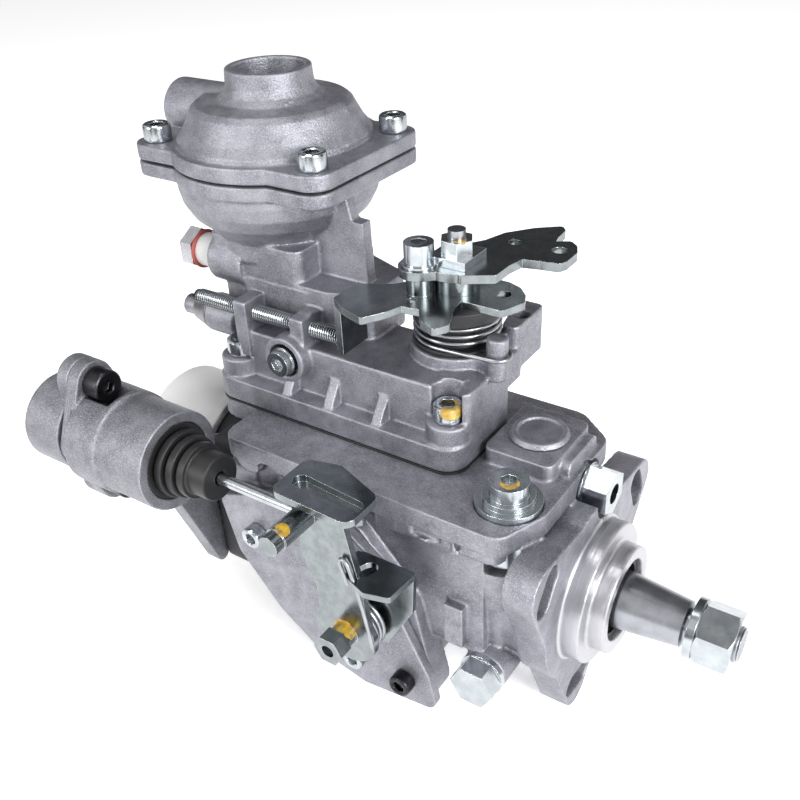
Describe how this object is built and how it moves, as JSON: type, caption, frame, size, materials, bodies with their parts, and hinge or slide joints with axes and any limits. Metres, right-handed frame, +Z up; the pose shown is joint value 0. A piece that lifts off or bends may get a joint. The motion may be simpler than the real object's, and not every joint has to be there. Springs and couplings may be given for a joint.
{
  "type": "diesel injection pump",
  "caption": "Distributor diesel injection pump with slotted flange, tapered drive shaft, sprung throttle lever, cold start lever with push rod and boost compensator.",
  "frame": {"origin": "on the drive shaft's axis, at the face of the mounting flange", "axes": "+X along the drive shaft, out of the drive end; +Z up, through the round boost cover; +Y away from the side with the cold start lever"},
  "size_m": [0.2445, 0.1344, 0.2082],
  "materials": {
    "cast_alu": "sand cast, satin",
    "actuator_alu": "cast, machined",
    "zinc": "bright zinc plate",
    "lever_zinc": "dull zinc plate",
    "fitting": "nickel plate",
    "dark_screw": "oiled steel",
    "steel": "machined",
    "ground_steel": "ground",
    "spring_steel": "drawn wire",
    "black_iron": "black",
    "rubber": "matt",
    "black_plastic": "matt",
    "white_plastic": "satin",
    "bronze": "machined"
  },
  "bodies": {
    "pump": {"housing": "cast_alu", "gov_cover": "cast_alu", "cover_gasket": "rubber", "m6_screws": "zinc", "m5_screws": "zinc", "comp_cap": "cast_alu", "diaphragm": "rubber", "boost_spring": "spring_steel", "shaft_seal": "rubber", "front_bush": "bronze", "vane_ring": "ground_steel", "plunger_springs": "spring_steel", "gov_shaft": "ground_steel", "timing_spring": "spring_steel", "timing_cap": "cast_alu", "timing_cover": "cast_alu", "dist_head": "black_iron", "valve_holders": "zinc", "delivery_valves": "bronze", "central_plug": "zinc", "outlet_cap": "white_plastic", "throttle_spring": "spring_steel", "idle_screw": "zinc", "fuel_screw": "dark_screw", "torx_plug": "zinc", "side_plug": "fitting", "reg_valve": "zinc", "inlet_union": "zinc", "top_plug": "cast_alu", "return_bolt": "zinc", "cold_spring": "spring_steel", "actuator": "actuator_alu", "actuator_cover": "actuator_alu", "wax_element": "bronze", "bellows": "rubber"},
    "drive": {"drive_shaft": "steel", "shaft_nut": "zinc", "vane_rotor": "ground_steel", "vanes": "ground_steel", "drive_gear": "ground_steel"},
    "cam": {"cam_disc": "ground_steel", "plunger": "ground_steel"},
    "bridge": {"spring_bridge": "ground_steel"},
    "governor": {"gov_gear": "ground_steel", "flyweights": "ground_steel"},
    "sleeve": {"gov_sleeve": "ground_steel"},
    "gov_arm": {"gov_lever": "ground_steel"},
    "spill": {"control_sleeve": "ground_steel"},
    "advance": {"timing_piston": "ground_steel"},
    "ring": {"roller_ring": "ground_steel", "rollers": "ground_steel"},
    "throttle": {"throttle_shaft": "steel", "throttle_lever": "lever_zinc", "stop_plate": "lever_zinc", "lever_fixings": "zinc", "spring_seats": "black_plastic"},
    "cold": {"cold_lever": "lever_zinc"},
    "rod": {"push_rod": "zinc"},
    "boost": {"boost_pin": "steel"},
    "regulator": {"reg_piston": "ground_steel"}
  },
  "joints": [
    {"name": "drive_turn", "type": "hinge", "parent": "pump", "child": "drive", "pos_m": [0, 0, 0], "axis": [1, 0, 0], "continuous": true},
    {"name": "cam_stroke", "type": "slide", "parent": "drive", "child": "cam", "axis": [1, 0, 0], "range_m": [0, 0.0022], "deforming": ["plunger_springs"]},
    {"name": "bridge_stroke", "type": "slide", "parent": "pump", "child": "bridge", "axis": [1, 0, 0], "range_m": [0, 0.0022]},
    {"name": "governor_turn", "type": "hinge", "parent": "pump", "child": "governor", "pos_m": [-0.05, 0, 0.027], "axis": [1, 0, 0], "continuous": true},
    {"name": "gov_arm_tilt", "type": "hinge", "parent": "pump", "child": "gov_arm", "pos_m": [-0.0905, 0, 0.0145], "axis": [0, -1, 0], "range_deg": [0, 12]},
    {"name": "sleeve_slide", "type": "slide", "parent": "pump", "child": "sleeve", "axis": [-1, 0, 0], "range_m": [0, 0.00256]},
    {"name": "spill_slide", "type": "slide", "parent": "pump", "child": "spill", "axis": [1, 0, 0], "range_m": [0, 0.00158]},
    {"name": "advance_slide", "type": "slide", "parent": "pump", "child": "advance", "axis": [0, 1, 0], "range_m": [0, 0.0034], "stiffness_N_per_m": 4000, "springref_m": -0.002, "deforming": ["timing_spring"]},
    {"name": "ring_turn", "type": "hinge", "parent": "pump", "child": "ring", "pos_m": [-0.059, 0, 0], "axis": [1, 0, 0], "range_deg": [0, 8]},
    {"name": "throttle_turn", "type": "hinge", "parent": "pump", "child": "throttle", "pos_m": [-0.0595, 0.013, 0.09], "axis": [0, 0, 1], "range_deg": [0, 35], "stiffness_Nm_per_rad": 0.6, "springref_deg": -28.65},
    {"name": "cold_turn", "type": "hinge", "parent": "pump", "child": "cold", "pos_m": [-0.062, -0.05, -0.005], "axis": [0, 1, 0], "range_deg": [0, 12], "stiffness_Nm_per_rad": 0.8, "springref_deg": -17.19},
    {"name": "rod_slide", "type": "slide", "parent": "pump", "child": "rod", "axis": [1, 0, 0], "range_m": [0, 0.00955]},
    {"name": "boost_slide", "type": "slide", "parent": "pump", "child": "boost", "axis": [0, 0, -1], "range_m": [0, 0.005], "stiffness_N_per_m": 3000, "springref_m": -0.003, "deforming": ["boost_spring", "diaphragm"]},
    {"name": "regulator_slide", "type": "slide", "parent": "pump", "child": "regulator", "axis": [0, 0, 1], "range_m": [0, 0.004], "stiffness_N_per_m": 500, "springref_m": -0.003}
  ],
  "couplings": [
    {"joint": "bridge_stroke", "follows": "cam_stroke", "ratio": 1},
    {"joint": "governor_turn", "follows": "drive_turn", "ratio": -1.7},
    {"joint": "sleeve_slide", "follows": "gov_arm_tilt", "m_per_rad": 0.0122},
    {"joint": "spill_slide", "follows": "gov_arm_tilt", "m_per_rad": 0.0075},
    {"joint": "ring_turn", "follows": "advance_slide", "rad_per_m": 40.816},
    {"joint": "rod_slide", "follows": "cold_turn", "m_per_rad": 0.0455}
  ]
}
